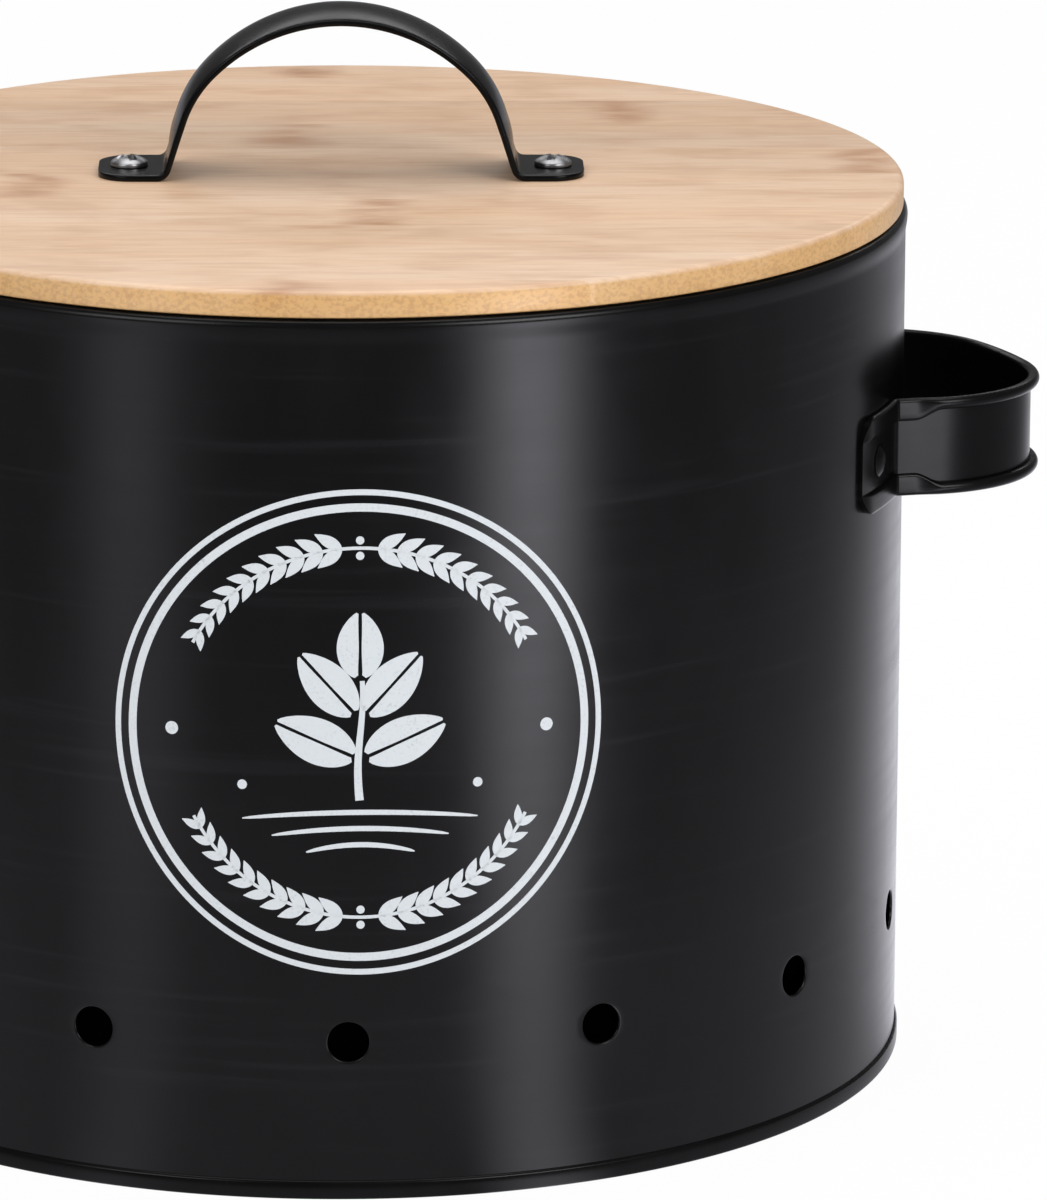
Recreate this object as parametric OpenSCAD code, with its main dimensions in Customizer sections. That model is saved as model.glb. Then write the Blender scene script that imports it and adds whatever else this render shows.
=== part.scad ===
// Round steel storage bin with a lift-off bamboo lid.
// The origin is the centre of the base on the floor, +Z is up and the front faces -Y.

/* [Bin body] */
// Outside diameter of the steel wall
bin_d = 240; // [210:1:300]
// Height of the rim above the floor
bin_h = 184; // [160:1:260]
// Thickness of the coated sheet steel
sheet_t = 0.6; // [0.5:0.05:0.9]

/* [Rolled rim] */
// Diameter of the bead that is rolled inward round the mouth
rim_bead_d = 3.5; // [3:0.1:5]
// How far the rim bead stands proud of the wall
rim_proud = 0.4; // [0:0.05:0.6]
// Width of the slit where the rolled edge stops short
rim_slit = 0.8; // [0.4:0.1:1.2]

/* [Folded base seam] */
// Height of the folded seam above the floor
seam_h = 4; // [3:0.1:8]
// Clearance between the wall and the folds on both sides of it
seam_gap = 0.05; // [0.03:0.01:0.1]
// Height of the base plate's underside above the floor
base_lift = 3; // [1:0.1:8]

/* [Vent holes] */
// Number of vent holes round the wall
vent_count = 14; // [6:1:24]
// Diameter of a vent hole
vent_d = 8.4; // [5:0.1:12]
// Height of the vent holes' centres above the floor
vent_z = 33.5; // [20:0.5:60]
// Angle from the front to the nearest vent hole
vent_turn = 0.55; // [0:0.05:12]

/* [Side handles] */
// Height of the handle strip
side_strip_h = 21; // [17:0.5:30]
// Thickness of the handle strip
side_strip_t = 0.8; // [0.6:0.1:1.1]
// Depth of the handle's middle below the rim
side_drop = 47; // [30:1:80]
// Diameter of the beads rolled along the strip's edges
side_bead_d = 2.6; // [2:0.1:3.4]
// Height of the hems that the beads are pressed into at the feet
side_hem_h = 4.8; // [3.6:0.1:5]
// Inside radius of the loop's two corners
side_loop_r = 26; // [22:0.5:30]
// Inside radius of the flatter stretch between the corners
side_flat_r = 85; // [60:1:120]
// Azimuth at which the front corner runs into the flatter stretch
side_flat_from = 18; // [14:0.5:20]
// Azimuth at which the flatter stretch runs into the rear corner
side_flat_to = 31.5; // [25:0.5:33]
// Distance from the wall to the inside of the loop
side_reach = 26.4; // [25:0.1:32]
// Distance by which the loop's furthest point lies forward of its middle
side_skew = 4.1; // [2:0.1:6]
// Angle at which each leg leans away from straight out
side_leg_lean = 13.5; // [8:0.5:20]
// Inside radius of the bend between leg and foot
side_bend_r = 1.8; // [1.5:0.1:3]
// Length of a foot along the wall
side_foot_l = 21; // [16:0.5:30]
// Corner radius of a foot
side_foot_corner_r = 6; // [3:0.5:8]
// Clearance between a foot and the wall
side_foot_gap = 0.05; // [0.03:0.01:0.1]

/* [Rivets] */
// Diameter of a rivet's shank
rivet_d = 3.9; // [3:0.1:5]
// Diametral clearance of a rivet in its holes
rivet_gap = 0.1; // [0.04:0.01:0.2]
// Diameter of a rivet's outer head
rivet_head_d = 7; // [6:0.1:7.4]
// Height of a rivet's outer head
rivet_head_h = 1.3; // [0.8:0.1:2]
// Diameter of a rivet's clinched inner end
rivet_clinch_d = 6; // [5.5:0.1:7]
// Thickness of a rivet's clinched inner end
rivet_clinch_t = 0.8; // [0.5:0.1:1.2]

/* [Lid] */
// Distance from the wall's outside in to the lid's edge
lid_inset = 0.5; // [0.2:0.1:2]
// Thickness of the lid above the rim
lid_plate_t = 5.5; // [4:0.5:12]
// Depth of the lid's locating step inside the rim
lid_step_t = 4.5; // [2:0.5:10]
// Radial clearance between the locating step and the rim bead
lid_step_gap = 0.5; // [0.3:0.1:3]
// Gap between the rim and the underside of the resting lid
lid_rest_gap = 0.3; // [0.2:0.05:0.5]
// Radius of the lid's upper edge
lid_round_top = 1.2; // [0.5:0.1:2]
// Width of the chamfer along the lid's lower edge
lid_low_chamfer = 0.5; // [0.2:0.1:1]
// Width of a bamboo stave as a share of the lid's diameter
stave_share = 0.111; // [0.08:0.001:0.16]
// Distance from the handle's screws forward to the nearest glue line
glue_line_y = 2.5; // [2.4:0.1:10]

/* [Lid handle] */
// Width of the handle strap
strap_w = 23; // [16:0.5:28]
// Thickness of the handle strap
strap_t = 1.3; // [0.8:0.1:2]
// Height of the crown pressed along the strap's middle
strap_crown = 1.2; // [0.6:0.1:2]
// Height of the arch above the lid
arch_h = 35.75; // [32:0.25:45]
// Outer radius of the arch's top
arch_top_r = 40; // [36:0.5:46]
// Angle from the middle to where the shoulders start
arch_top_turn = 46; // [42:1:54]
// Outer radius of the arch's shoulders
arch_shoulder_r = 27; // [20:0.5:30]
// Lean of the arch's legs away from upright
arch_leg_lean = 18.5; // [10:0.5:22]
// Inside radius of the bend between leg and foot
arch_bend_r = 2; // [1:0.1:3]
// Distance between the two screws
screw_span_l = 90; // [88:1:100]
// Distance from a screw to the end of its foot
strap_end = 6.5; // [5:0.5:10]
// Corner radius of the feet
strap_corner_r = 7; // [2:0.5:8]

/* [Lid screws] */
// Diameter of a screw's pan head
screw_head_d = 8; // [7:0.1:9]
// Height of a screw's pan head
screw_head_h = 2.4; // [1.8:0.1:3]
// Diameter of a screw's shank
screw_d = 3.4; // [2.5:0.1:4]
// Depth to which a screw enters the lid
screw_depth = 7.5; // [5:0.5:9]
// Diametral clearance of a screw in its pilot hole
screw_pilot_gap = 0.1; // [0.04:0.01:0.2]
// Diametral clearance of a screw in the strap
screw_strap_gap = 0.6; // [0.3:0.1:1]
// Depth of the cross recess in the head
recess_depth = 1.4; // [0.8:0.1:1.8]
// Width of the cross recess's arms
recess_w = 1; // [0.6:0.1:1.4]
// Span of the cross recess
recess_span = 4.6; // [3:0.1:5.2]

/* [Hidden] */
$fn = 96;
// A cut runs past the surface that it opens by this much
cut_past = 1;
// The side handle's loop is swept in steps of at most this many degrees
loop_step = 5;
// Share of a leg over which its beads flatten into hems
fade_share = 0.65;
// Number of steps in the other stretches of the two handles' sweeps
fade_steps = 6;
bend_steps = 6;
foot_steps = 5;
top_steps = 12;
shoulder_steps = 6;
// Number of steps round the handles' sections
hem_steps = 3;
fold_steps = 6;
crown_steps = 8;

bin_r = bin_d / 2;
wall_in_r = bin_r - sheet_t;
rim_bead_r = rim_bead_d / 2;
rim_r = bin_r + rim_proud - rim_bead_r;
rim_z = bin_h - rim_bead_r;

seam_in_r = wall_in_r - seam_gap;
seam_out_r = bin_r + seam_gap;
wall_z = sheet_t + seam_gap;

// The loop is two corners with a flatter stretch between them, met from the front corner on.
// Each end is laid out as a rear end, from its corner's centre on, and the front one is then mirrored.
// A leg runs along side_leg_dir from the end of its corner, and side_leg_out points away from the loop.
side_z = bin_h - side_drop - side_strip_h / 2;
side_bead_r = side_bead_d / 2;
side_corner_turn = 90 - side_leg_lean;
side_leg_dir = [-cos(side_leg_lean), sin(side_leg_lean)];
side_leg_out = [sin(side_leg_lean), cos(side_leg_lean)];
side_front_x = bin_r + side_reach - side_loop_r;
side_flat_at = [side_front_x, -side_skew]
    - (side_flat_r - side_loop_r) * [cos(side_flat_from), sin(side_flat_from)];
side_front_corner = [side_front_x, side_skew];
side_rear_corner = side_flat_at + (side_flat_r - side_loop_r) * [cos(side_flat_to), sin(side_flat_to)];
side_foot_in_r = bin_r + side_foot_gap;
side_foot_r = side_foot_in_r + side_strip_t;
side_foot_turn = side_foot_l / side_foot_r * 180 / PI;
side_mid_z = side_z + side_strip_h / 2;

// Start of the leg that follows a corner, and centre of the bend between that leg and its foot
function leg_start(corner) = corner + side_loop_r * side_leg_out;
function bend_at(corner) =
    let (out = leg_start(corner) * side_leg_out + side_strip_t + side_bend_r,
        along = -sqrt(pow(side_foot_r + side_bend_r, 2) - pow(out, 2)))
    out * side_leg_out + along * side_leg_dir;

// Length of a leg, and azimuths of its foot's start and its rivet
function leg_l(corner) = (bend_at(corner) - leg_start(corner)) * side_leg_dir;
function foot_az(corner) = atan2(bend_at(corner)[1], bend_at(corner)[0]);
function rivet_az(corner) = foot_az(corner) + side_foot_turn / 2;
front_rivet_az = rivet_az(side_front_corner);
rear_rivet_az = rivet_az(side_rear_corner);

// A flat head against the curved wall stands off by the wall's rise across the head.
rivet_seat_gap = 0.02;
clinch_rise = pow(rivet_clinch_d / 2, 2) / (2 * wall_in_r);
rivet_hole_d = rivet_d + rivet_gap;

lid_r = bin_r - lid_inset;
lid_z = bin_h + lid_rest_gap;
lid_top_z = lid_z + lid_plate_t;
lid_step_r = rim_r - rim_bead_r - lid_step_gap;
lid_low_z = lid_z - lid_step_t;
step_chamfer = 1;
round_steps = 3;
stave_w = stave_share * 2 * lid_r;
staves_front = ceil((lid_r - glue_line_y) / stave_w);
staves_rear = ceil((lid_r + glue_line_y) / stave_w);
stave_count = staves_front + staves_rear;

// The arch is laid out in the XZ plane for its right half, on the line of the strap's lower edges.
strap_depth = strap_t + strap_crown;
crown_r = (pow(strap_w / 2, 2) + pow(strap_crown, 2)) / (2 * strap_crown);
arch_turn = 90 - arch_leg_lean;
arch_top_at = [0, lid_top_z + arch_h - arch_top_r];
arch_shoulder_at = arch_top_at + (arch_top_r - arch_shoulder_r) * [sin(arch_top_turn), cos(arch_top_turn)];
arch_leg_out = [cos(arch_leg_lean), sin(arch_leg_lean)];
arch_leg_dir = [sin(arch_leg_lean), -cos(arch_leg_lean)];
arch_leg_start = arch_shoulder_at + (arch_shoulder_r - strap_depth) * arch_leg_out;
arch_bend_z = lid_top_z + strap_t + arch_bend_r;
arch_bend_out = (strap_t + arch_bend_r) * arch_leg_out;
arch_leg_l = (arch_leg_start[1] + arch_bend_out[1] - arch_bend_z) / cos(arch_leg_lean);
arch_bend_at = arch_leg_start + arch_bend_out + arch_leg_l * arch_leg_dir;
screw_x = screw_span_l / 2;
strap_end_x = screw_x + strap_end;
screw_z = lid_top_z + strap_t;
screw_point_l = screw_d;
screw_face_h = screw_head_h / 3;

// Every node of the bin, with the lid's staves numbered from front to rear

// Wall and rim bead as one section, with the bead's hollow and slit cut out
module body_section() {
    difference() {
        union() {
            translate([wall_in_r, wall_z]) square([sheet_t, rim_z - wall_z]);
            translate([rim_r, rim_z]) circle(r = rim_bead_r);
        }
        translate([rim_r, rim_z]) circle(r = rim_bead_r - sheet_t);
        translate([rim_r, rim_z]) rotate(225)
            translate([0, -rim_slit / 2]) square([rim_bead_d, rim_slit]);
    }
}

// Radial hole through the wall at an azimuth from +X, at a height
module wall_hole(az, z, d) {
    rotate([0, 0, az]) translate([wall_in_r - cut_past, 0, z]) rotate([0, 90, 0])
        cylinder(d = d, h = sheet_t + side_strip_t + 3 * cut_past);
}

// Azimuths of the four rivets, from +X
rivet_azimuths = [rear_rivet_az, -front_rivet_az, 180 - rear_rivet_az, 180 + front_rivet_az];

module body_shell() {
    color([0.13, 0.13, 0.14]) difference() {
        rotate_extrude() body_section();
        for (i = [0 : vent_count - 1])
            wall_hole(vent_turn - 90 + i * 360 / vent_count, vent_z, vent_d);
        for (az = rivet_azimuths)
            wall_hole(az, side_mid_z, rivet_hole_d);
    }
}

// Base disc, skirt inside the wall, and fold round the wall's lower edge
module base_section() {
    translate([0, base_lift]) square([seam_in_r, sheet_t]);
    translate([seam_in_r - sheet_t, sheet_t]) square([sheet_t, base_lift]);
    translate([seam_in_r, 0]) square([seam_out_r - seam_in_r, sheet_t]);
    translate([seam_in_r, sheet_t]) circle(r = sheet_t);
    translate([seam_out_r, sheet_t]) circle(r = sheet_t);
    translate([seam_out_r, sheet_t]) square([sheet_t, seam_h - 1.5 * sheet_t]);
    translate([seam_out_r + sheet_t / 2, seam_h - sheet_t / 2]) circle(d = sheet_t);
}

module base_plate() {
    color([0.13, 0.13, 0.14]) rotate_extrude() difference() {
        base_section();
        translate([seam_in_r, sheet_t]) square([seam_out_r - seam_in_r, seam_h]);
    }
}

// Faces of a sweep through a number of stations of so many points, with the parts of its first end
function sweep_faces(count, around, end_parts) =
    let (end_at = (count - 1) * around)
    concat(
        end_parts,
        [for (part = end_parts) [for (j = [len(part) - 1 : -1 : 0]) end_at + part[j]]],
        [for (i = [0 : count - 2]) for (j = [0 : around - 1])
            let (a = i * around + j, b = i * around + (j + 1) % around)
            [b, a, a + around, b + around]]
    );

// Lower edge of the strip's section as [outward, up] points, from a rolled bead (press 0) to a flat hem (press 1)
function strip_edge(press) =
    let (
        join_turn = acos((side_strip_t - side_bead_r) / side_bead_r),
        bead_points = concat(
            [for (k = [0 : hem_steps - 1]) join_turn * (1 - k / hem_steps)],
            [for (k = [0 : fold_steps]) -180 * k / fold_steps]
        ),
        hem_points = concat(
            [[side_strip_t, side_hem_h]],
            [for (k = [1 : hem_steps - 1])
                [2 * side_strip_t, side_hem_h - (side_hem_h - side_strip_t) * (k - 1) / (hem_steps - 1)]],
            [for (k = [0 : fold_steps])
                side_strip_t * [1 + cos(180 * k / fold_steps), 1 - sin(180 * k / fold_steps)]]
        )
    )
    [for (k = [0 : len(bead_points) - 1])
        (1 - press) * side_bead_r * [1 + cos(bead_points[k]), 1 + sin(bead_points[k])]
            + press * hem_points[k]];

// Whole section of the strip, going down its outer face and up its inner face
function strip_section(press) =
    let (low = strip_edge(press), last = len(low) - 1)
    concat(low, [for (k = [0 : last]) [low[last - k][0], side_strip_h - low[last - k][1]]]);

// Stations along an arc of the loop: [x, y, azimuth of the outward face, press]
function loop_stations(centre, r, from, to) =
    let (steps = ceil((to - from) / loop_step))
    [for (k = [0 : steps - 1]) let (a = from + (to - from) * k / steps)
        [centre[0] + r * cos(a), centre[1] + r * sin(a), a, 0]];

// Stations from the start of a corner to the end of its foot
function end_stations(corner, from) = concat(
    loop_stations(corner, side_loop_r, from, side_corner_turn),
    [for (k = [0 : fade_steps])
        let (u = k / fade_steps, at = leg_start(corner) + fade_share * leg_l(corner) * u * side_leg_dir)
        [at[0], at[1], side_corner_turn, u * u * (3 - 2 * u)]],
    [for (k = [0 : bend_steps])
        let (a = side_corner_turn + (foot_az(corner) - side_corner_turn) * k / bend_steps,
            at = bend_at(corner) - (side_bend_r + side_strip_t) * [cos(a), sin(a)])
        [at[0], at[1], a, 1]],
    [for (k = [1 : foot_steps])
        let (a = foot_az(corner) + side_foot_turn * k / foot_steps)
        [side_foot_in_r * cos(a), side_foot_in_r * sin(a), a, 1]]
);

// Stations of the whole strip, from the front foot round the loop to the rear foot
function strip_stations() =
    let (front = end_stations(side_front_corner, -side_flat_from), last = len(front) - 1)
    concat(
        [for (k = [0 : last - 1]) let (s = front[last - k]) [s[0], -s[1], -s[2], s[3]]],
        loop_stations(side_flat_at, side_flat_r, side_flat_from, side_flat_to),
        end_stations(side_rear_corner, side_flat_to)
    );

// The strip swept through its stations, with its lower edge at z = 0
module strip_sweep() {
    stations = strip_stations();
    around = len(strip_section(0));
    edge = around / 2;
    polyhedron(
        points = [for (s = stations) for (p = strip_section(s[3]))
            [s[0] + p[0] * cos(s[2]), s[1] + p[0] * sin(s[2]), p[1]]],
        faces = sweep_faces(len(stations), around, [
            [for (j = [0 : edge - 1]) j],
            [0, edge - 1, edge, around - 1],
            [for (j = [edge : around - 1]) j]
        ])
    );
}

// What the rounded corners lose at the end of a rear foot that starts at an azimuth
module foot_corners(az) {
    rotate([0, 0, az + side_foot_turn]) translate([side_foot_in_r - cut_past, 0, 0])
        rotate([90, 0, 90]) linear_extrude(2 * side_strip_t + 2 * cut_past) difference() {
            translate([-side_foot_corner_r, -cut_past])
                square([side_foot_corner_r + cut_past, side_strip_h + 2 * cut_past]);
            translate([-side_foot_corner_r, side_foot_corner_r]) circle(r = side_foot_corner_r);
            translate([-side_foot_corner_r, side_strip_h - side_foot_corner_r]) circle(r = side_foot_corner_r);
            translate([-2 * side_foot_corner_r, side_foot_corner_r])
                square([2 * side_foot_corner_r, side_strip_h - 2 * side_foot_corner_r]);
        }
}

// The right handle with its lower edge at z = 0
module side_strip() {
    difference() {
        strip_sweep();
        foot_corners(foot_az(side_rear_corner));
        mirror([0, 1, 0]) foot_corners(foot_az(side_front_corner));
        wall_hole(rear_rivet_az, side_strip_h / 2, rivet_hole_d);
        wall_hole(-front_rivet_az, side_strip_h / 2, rivet_hole_d);
    }
}

module side_handle(left) {
    color([0.13, 0.13, 0.14]) mirror([left, 0, 0]) translate([0, 0, side_z]) side_strip();
}

// Cap of a sphere, d across and h high
module dome(d, h) {
    dome_r = (d * d / 4 + h * h) / (2 * h);
    intersection() {
        translate([0, 0, h - dome_r]) sphere(r = dome_r);
        cylinder(d = d, h = h);
    }
}

// Rivet along +X: domed head on the foot, shank through foot and wall, clinched end inside the bin
module side_rivet(az) {
    clinch_top = wall_in_r - clinch_rise - rivet_seat_gap;
    head_low = side_foot_r + rivet_seat_gap;
    color([0.13, 0.13, 0.14]) rotate([0, 0, az]) translate([0, 0, side_mid_z]) rotate([0, 90, 0]) {
        translate([0, 0, head_low]) dome(rivet_head_d, rivet_head_h);
        translate([0, 0, clinch_top - rivet_clinch_t]) cylinder(d = rivet_d, h = head_low - clinch_top + 2 * rivet_clinch_t);
        translate([0, 0, clinch_top - rivet_clinch_t]) cylinder(d = rivet_clinch_d, h = rivet_clinch_t);
    }
}

// Half section of the lid: the chamfered locating step, and the plate with its two softened edges
module lid_section() {
    polygon(concat(
        [
            [0, lid_low_z], [lid_step_r - step_chamfer, lid_low_z],
            [lid_step_r, lid_low_z + step_chamfer], [lid_step_r, lid_z],
            [lid_r - lid_low_chamfer, lid_z], [lid_r, lid_z + lid_low_chamfer]
        ],
        [for (k = [0 : round_steps]) let (a = 90 * k / round_steps)
            [lid_r - lid_round_top * (1 - cos(a)), lid_top_z - lid_round_top * (1 - sin(a))]],
        [[0, lid_top_z]]
    ));
}

// Stave number i, counted from the front
module lid_stave(i) {
    stave_y = (i - 1 - staves_front) * stave_w - glue_line_y;
    tone = 0.04 * (i % 3);
    color([0.87 - tone, 0.74 - tone, 0.57 - tone]) difference() {
        intersection() {
            rotate_extrude() lid_section();
            translate([-lid_r - cut_past, stave_y, lid_low_z - cut_past])
                cube([2 * lid_r + 2 * cut_past, stave_w, lid_top_z - lid_low_z + 2 * cut_past]);
        }
        if (stave_y < 0 && stave_y + stave_w > 0)
            for (x = [-screw_x, screw_x])
                translate([x, 0, lid_top_z - screw_depth - screw_pilot_gap])
                    cylinder(d = screw_d + screw_pilot_gap, h = screw_depth + cut_past);
    }
}

// Rise of the strap's crown over its edges, at a distance y from the middle
function crown_rise(y) = sqrt(crown_r * crown_r - y * y) - (crown_r - strap_crown);

// Section of the strap as [outward, y] points, with its crown from flat (0) to full (1)
function strap_section(crown) = concat(
    [for (k = [0 : crown_steps]) let (y = strap_w * (0.5 - k / crown_steps))
        [strap_t + crown * crown_rise(y), y]],
    [for (k = [0 : crown_steps]) let (y = strap_w * (k / crown_steps - 0.5))
        [crown * crown_rise(y), y]]
);

// Stations along the right half of the strap: [x, z, angle of the outward face from +X, crown]
function right_stations() = concat(
    [for (k = [0 : top_steps])
        let (a = 90 - arch_top_turn * k / top_steps,
            at = arch_top_at + (arch_top_r - strap_depth) * [cos(a), sin(a)])
        [at[0], at[1], a, 1]],
    [for (k = [1 : shoulder_steps - 1])
        let (a = 90 - arch_top_turn - (arch_turn - arch_top_turn) * k / shoulder_steps,
            at = arch_shoulder_at + (arch_shoulder_r - strap_depth) * [cos(a), sin(a)])
        [at[0], at[1], a, 1]],
    [for (k = [0 : fade_steps - 1])
        let (at = arch_leg_start + arch_leg_l * k / fade_steps * arch_leg_dir, u = k / fade_steps)
        [at[0], at[1], arch_leg_lean, 1 - u * u * (3 - 2 * u)]],
    [for (k = [0 : bend_steps])
        let (a = arch_leg_lean + arch_turn * k / bend_steps,
            at = arch_bend_at - (strap_t + arch_bend_r) * [cos(a), sin(a)])
        [at[0], at[1], a, 0]],
    [[strap_end_x, lid_top_z, 90, 0]]
);

// Stations of the whole strap, from the left foot over the arch to the right foot
function strap_stations() =
    let (right = right_stations(), last = len(right) - 1)
    concat([for (k = [0 : last - 1]) let (s = right[last - k]) [-s[0], s[1], 180 - s[2], s[3]]], right);

module strap_sweep() {
    stations = strap_stations();
    around = len(strap_section(0));
    polyhedron(
        points = [for (s = stations) for (p = strap_section(s[3]))
            [s[0] + p[0] * cos(s[2]), p[1], s[1] + p[0] * sin(s[2])]],
        faces = sweep_faces(len(stations), around,
            [for (j = [0 : crown_steps - 1]) [j, j + 1, around - 2 - j, around - 1 - j]])
    );
}

// What the right foot of the strap loses: its two corners and the screw hole
module strap_foot_cuts() {
    translate([strap_end_x - strap_corner_r, 0, lid_top_z - cut_past]) {
        linear_extrude(strap_t + 2 * cut_past) difference() {
            translate([0, -strap_w / 2 - cut_past])
                square([strap_corner_r + cut_past, strap_w + 2 * cut_past]);
            for (side = [-1, 1])
                translate([0, side * (strap_w / 2 - strap_corner_r)]) circle(r = strap_corner_r);
            translate([-strap_corner_r, strap_corner_r - strap_w / 2])
                square([2 * strap_corner_r, strap_w - 2 * strap_corner_r]);
        }
    }
    translate([screw_x, 0, lid_top_z - cut_past])
        cylinder(d = screw_d + screw_strap_gap, h = strap_t + 2 * cut_past);
}

module lid_handle() {
    color([0.1, 0.1, 0.11]) difference() {
        strap_sweep();
        for (side = [0, 1]) mirror([side, 0, 0]) strap_foot_cuts();
    }
}

// Pan head screw with a cross recess, its head seated on the strap
module lid_screw(x) {
    color([0.75, 0.75, 0.77]) translate([x, 0, screw_z]) {
        difference() {
            union() {
                cylinder(d = screw_head_d, h = screw_face_h);
                translate([0, 0, screw_face_h]) dome(screw_head_d, screw_head_h - screw_face_h);
            }
            for (turn = [0, 90]) rotate([0, 0, turn])
                translate([-recess_span / 2, -recess_w / 2, screw_head_h - recess_depth])
                    cube([recess_span, recess_w, recess_depth + cut_past]);
        }
        translate([0, 0, -strap_t - screw_depth + screw_point_l])
            cylinder(d = screw_d, h = strap_t + screw_depth - screw_point_l + screw_face_h / 2);
        translate([0, 0, -strap_t - screw_depth])
            cylinder(d1 = 0.1, d2 = screw_d, h = screw_point_l);
    }
}

body_shell();
base_plate();
side_handle(0);  // side_handle_right
side_handle(1);  // side_handle_left
side_rivet(-front_rivet_az);  // side_rivet_right_front
side_rivet(rear_rivet_az);  // side_rivet_right_rear
side_rivet(180 + front_rivet_az);  // side_rivet_left_front
side_rivet(180 - rear_rivet_az);  // side_rivet_left_rear
for (i = [1 : stave_count])
    lid_stave(i);
lid_handle();
lid_screw(-screw_x);  // lid_screw_left
lid_screw(screw_x);  // lid_screw_right
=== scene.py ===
"""Looks of a round steel storage bin with a bamboo lid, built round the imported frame."""

import math

import bmesh
import bpy
from mathutils import Matrix, Vector


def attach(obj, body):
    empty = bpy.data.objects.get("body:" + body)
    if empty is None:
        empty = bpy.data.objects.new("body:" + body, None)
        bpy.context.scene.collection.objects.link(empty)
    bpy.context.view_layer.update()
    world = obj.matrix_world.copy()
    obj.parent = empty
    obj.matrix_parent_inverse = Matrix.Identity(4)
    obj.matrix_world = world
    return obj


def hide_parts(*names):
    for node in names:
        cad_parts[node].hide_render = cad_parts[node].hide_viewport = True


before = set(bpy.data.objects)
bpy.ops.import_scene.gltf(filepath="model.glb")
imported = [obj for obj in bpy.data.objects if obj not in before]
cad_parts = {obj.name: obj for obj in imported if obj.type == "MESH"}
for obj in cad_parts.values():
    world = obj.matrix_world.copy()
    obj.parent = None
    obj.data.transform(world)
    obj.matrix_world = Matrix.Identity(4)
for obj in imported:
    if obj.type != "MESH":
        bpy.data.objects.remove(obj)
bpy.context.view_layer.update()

MM = 0.001
# Points of a mesh closer than this, in metres, are one
SAME_POINT = 1e-7

# Sizes of the bin, in millimetres, as in the construction source
WALL_R = 120.0
SHEET_T = 0.6
WALL_IN_R = WALL_R - SHEET_T
BODY_H = 184.0
RIM_BEAD_R = 1.75
RIM_R = 118.65
RIM_Z = BODY_H - RIM_BEAD_R
SEAM_H = 4.0
SEAM_GAP = 0.05
BASE_LIFT = 3.0
VENTS = 14
VENT_R = 4.2
VENT_Z = 33.5
VENT_TURN = 0.55
VENT_FRONT = -90 + VENT_TURN

STRIP_H = 21.0
STRIP_T = 0.8
STRIP_Z = 126.5
BEAD_R = 1.3
HEM_H = 4.8
LOOP_R = 26.0
FLAT_R = 85.0
FLAT_FROM = 18.0
FLAT_TO = 31.5
LOOP_REACH = 26.4
LOOP_SKEW = 4.1
LEG_LEAN = 13.5
FADE_SHARE = 0.65
BEND_R = 1.8
FOOT_L = 21.0
FOOT_CORNER_R = 6.0
FOOT_GAP = 0.05
FOOT_IN_R = WALL_R + FOOT_GAP

RIVET_R = 1.95
RIVET_HEAD_R = 3.5
RIVET_HEAD_H = 1.3
RIVET_CLINCH_R = 3.0
RIVET_CLINCH_T = 0.8
RIVET_SEAT_GAP = 0.02

LID_R = 119.5
LID_REST_GAP = 0.3
LID_PLATE_T = 5.5
LID_STEP_T = 4.5
LID_Z = BODY_H + LID_REST_GAP
LID_TOP_Z = LID_Z + LID_PLATE_T
LID_LOW_Z = LID_Z - LID_STEP_T
LID_STEP_R = 116.4
LID_STEP_CHAMFER = 1.0
LID_ROUND_TOP = 1.2
LID_CHAMFER = 0.5
STAVES = 10
STAVE_SHARE = 0.111
STAVE_W = STAVE_SHARE * 2 * LID_R
GLUE_LINE_Y = 2.5
STAVES_FRONT = math.ceil((LID_R - GLUE_LINE_Y) / STAVE_W)

STRAP_W = 23.0
STRAP_T = 1.3
STRAP_CROWN = 1.2
STRAP_DEPTH = STRAP_T + STRAP_CROWN
CROWN_R = (STRAP_W**2 / 4 + STRAP_CROWN**2) / (2 * STRAP_CROWN)
ARCH_H = 35.75
ARCH_TOP_R = 40.0
ARCH_TOP_TURN = 46.0
ARCH_SHOULDER_R = 27.0
ARCH_LEAN = 18.5
ARCH_BEND_R = 2.0
SCREW_X = 45.0
STRAP_END = 6.5
STRAP_END_X = SCREW_X + STRAP_END
STRAP_CORNER_R = 7.0

SCREW_HEAD_R = 4.0
SCREW_HEAD_H = 2.4
SCREW_FACE_H = SCREW_HEAD_H / 3
SCREW_SHANK_R = 1.7
SCREW_SHANK_L = 8.8
SCREW_POINT_L = 3.4


def polar(radius, degrees, centre=(0.0, 0.0)):
    """A point at a distance and an angle from a centre."""
    a = math.radians(degrees)
    return centre[0] + radius * math.cos(a), centre[1] + radius * math.sin(a)


def smooth(t):
    """Eases t from 0 to 1."""
    t = min(max(t, 0.0), 1.0)
    return t * t * (3 - 2 * t)


def span(start, end, steps):
    """Evenly spaced values from start to end, both included."""
    return [start + (end - start) * k / steps for k in range(steps + 1)]


def arc(centre, radius, start, end, steps):
    """Points of an arc in the profile plane, angles in degrees."""
    return [polar(radius, a, centre) for a in span(start, end, steps)]


# Pieces


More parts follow.
